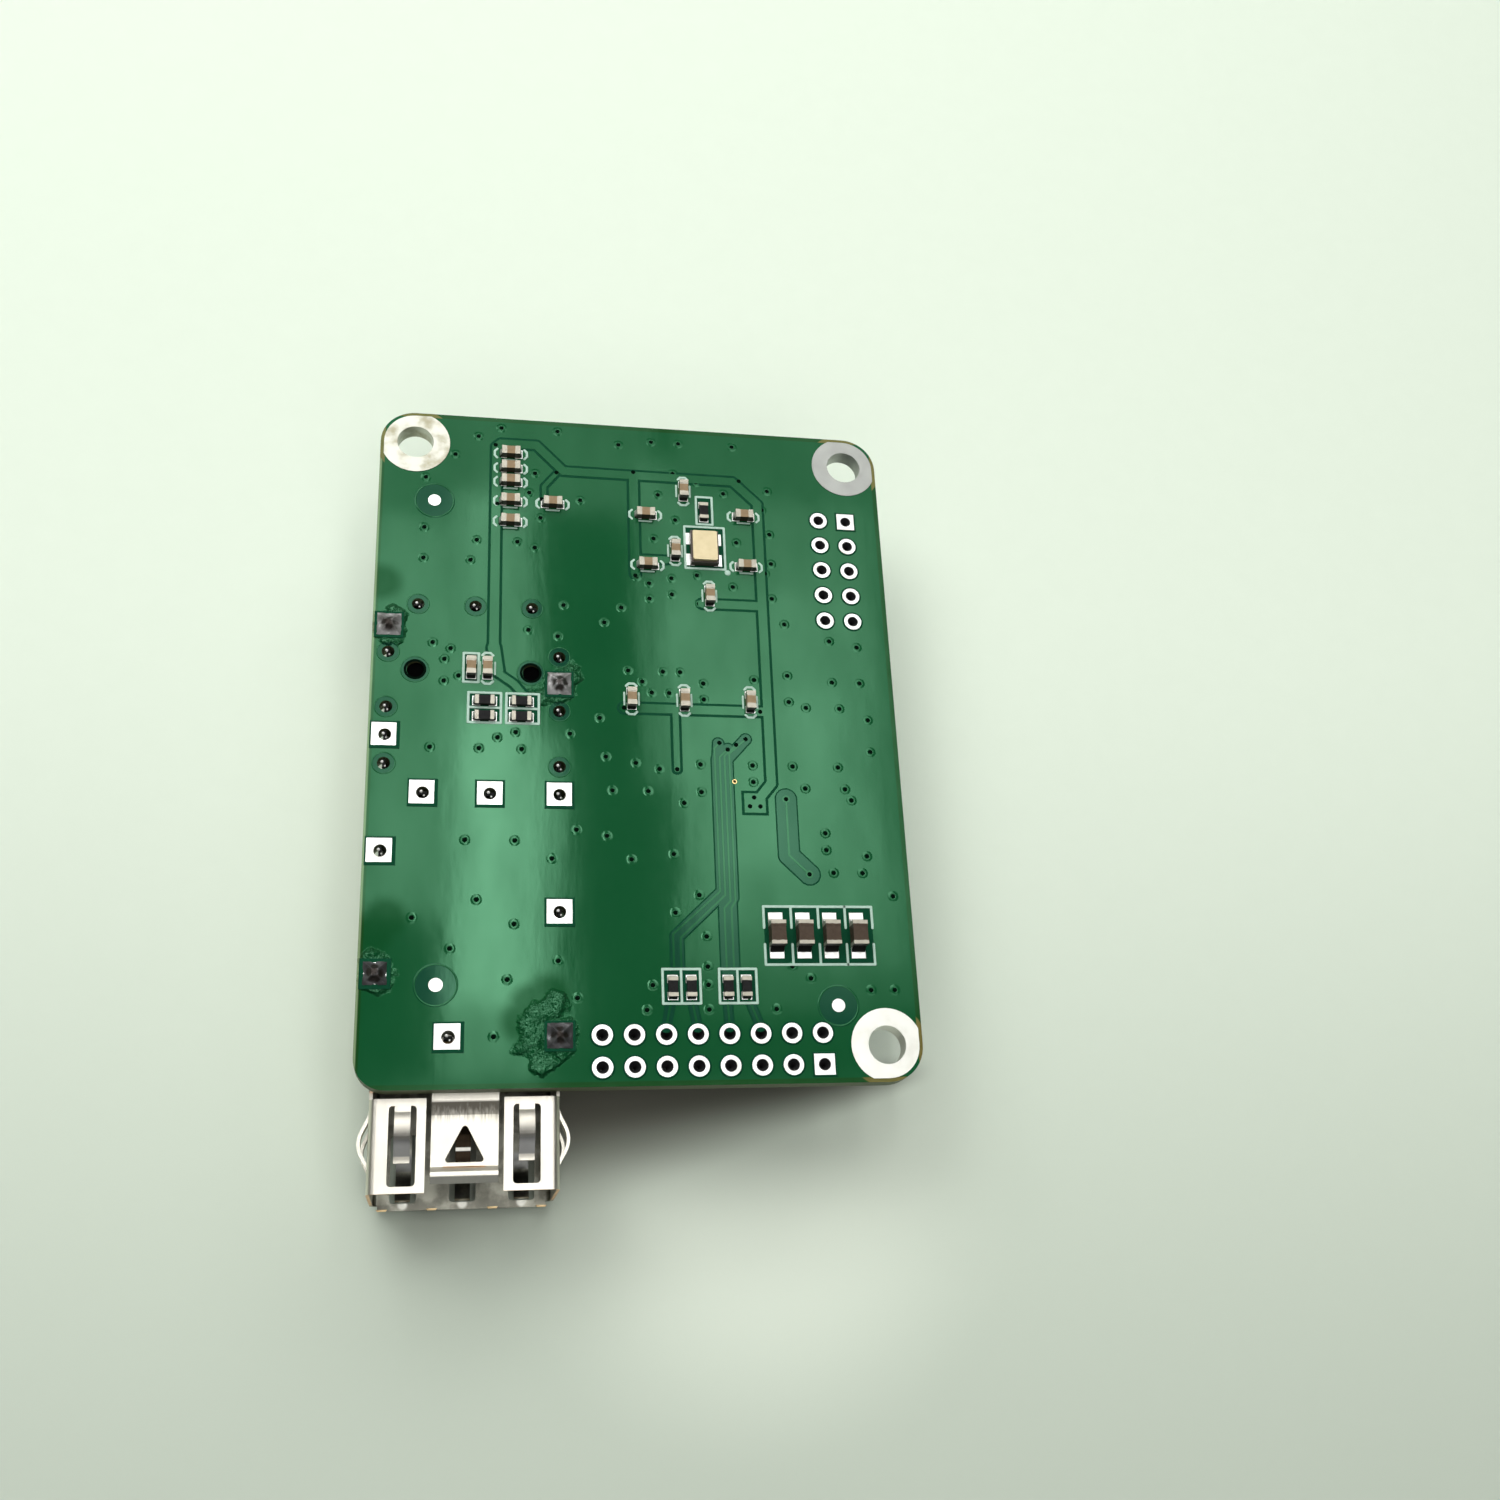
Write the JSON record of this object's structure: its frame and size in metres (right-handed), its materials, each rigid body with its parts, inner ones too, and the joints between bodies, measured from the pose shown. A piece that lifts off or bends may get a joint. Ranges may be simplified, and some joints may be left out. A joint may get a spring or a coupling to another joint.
{
  "type": "pluggable transceiver host board",
  "caption": "Small green circuit board, solder side up, with a sheet metal cage for a plug-in optical transceiver under it and past its front edge.",
  "frame": {"origin": "centre of the front right mounting hole on the solder face", "axes": "+Z out of the solder face, +X to the board's right edge, +Y to its rear edge, away from the cage's mouth"},
  "size_m": [0.045, 0.0678, 0.0126],
  "materials": {
    "solder_mask": "glossy",
    "tin": "satin",
    "solder": "satin",
    "cage_nickel": "satin",
    "black_plastic": "matte",
    "contact_gold": "satin",
    "lid_cream": "satin",
    "dark_ceramic": "satin",
    "tan_ceramic": "satin",
    "resistor_black": "satin"
  },
  "bodies": {
    "root": {"bulk_capacitor_1": "dark_ceramic", "bulk_capacitor_2": "dark_ceramic", "bulk_capacitor_3": "dark_ceramic", "bulk_capacitor_4": "dark_ceramic", "cage_base": "cage_nickel", "cage_pads": "tin", "cage_shell": "cage_nickel", "capacitor_01": "tan_ceramic", "capacitor_02": "tan_ceramic", "capacitor_03": "tan_ceramic", "capacitor_04": "tan_ceramic", "capacitor_05": "tan_ceramic", "capacitor_06": "tan_ceramic", "capacitor_07": "tan_ceramic", "capacitor_08": "tan_ceramic", "capacitor_09": "tan_ceramic", "capacitor_10": "tan_ceramic", "capacitor_11": "tan_ceramic", "capacitor_12": "tan_ceramic", "capacitor_13": "tan_ceramic", "capacitor_14": "tan_ceramic", "capacitor_15": "tan_ceramic", "capacitor_16": "tan_ceramic", "capacitor_17": "tan_ceramic", "capacitor_18": "tan_ceramic", "circuit_board": "solder_mask", "connector_contacts_lower": "contact_gold", "connector_contacts_upper": "contact_gold", "connector_housing": "black_plastic", "fiducials": "tin", "header_pads_front": "tin", "header_pads_rear": "tin", "mounting_rings": "tin", "oscillator_base": "black_plastic", "oscillator_lid": "lid_cream", "resistor_1": "resistor_black", "resistor_2": "resistor_black", "resistor_3": "resistor_black", "resistor_4": "resistor_black", "resistor_5": "resistor_black", "resistor_6": "resistor_black", "resistor_7": "resistor_black", "resistor_8": "resistor_black", "resistor_9": "resistor_black", "solder_joints": "solder", "transceiver_chip": "black_plastic", "voltage_regulator": "black_plastic"}
  },
  "joints": []
}
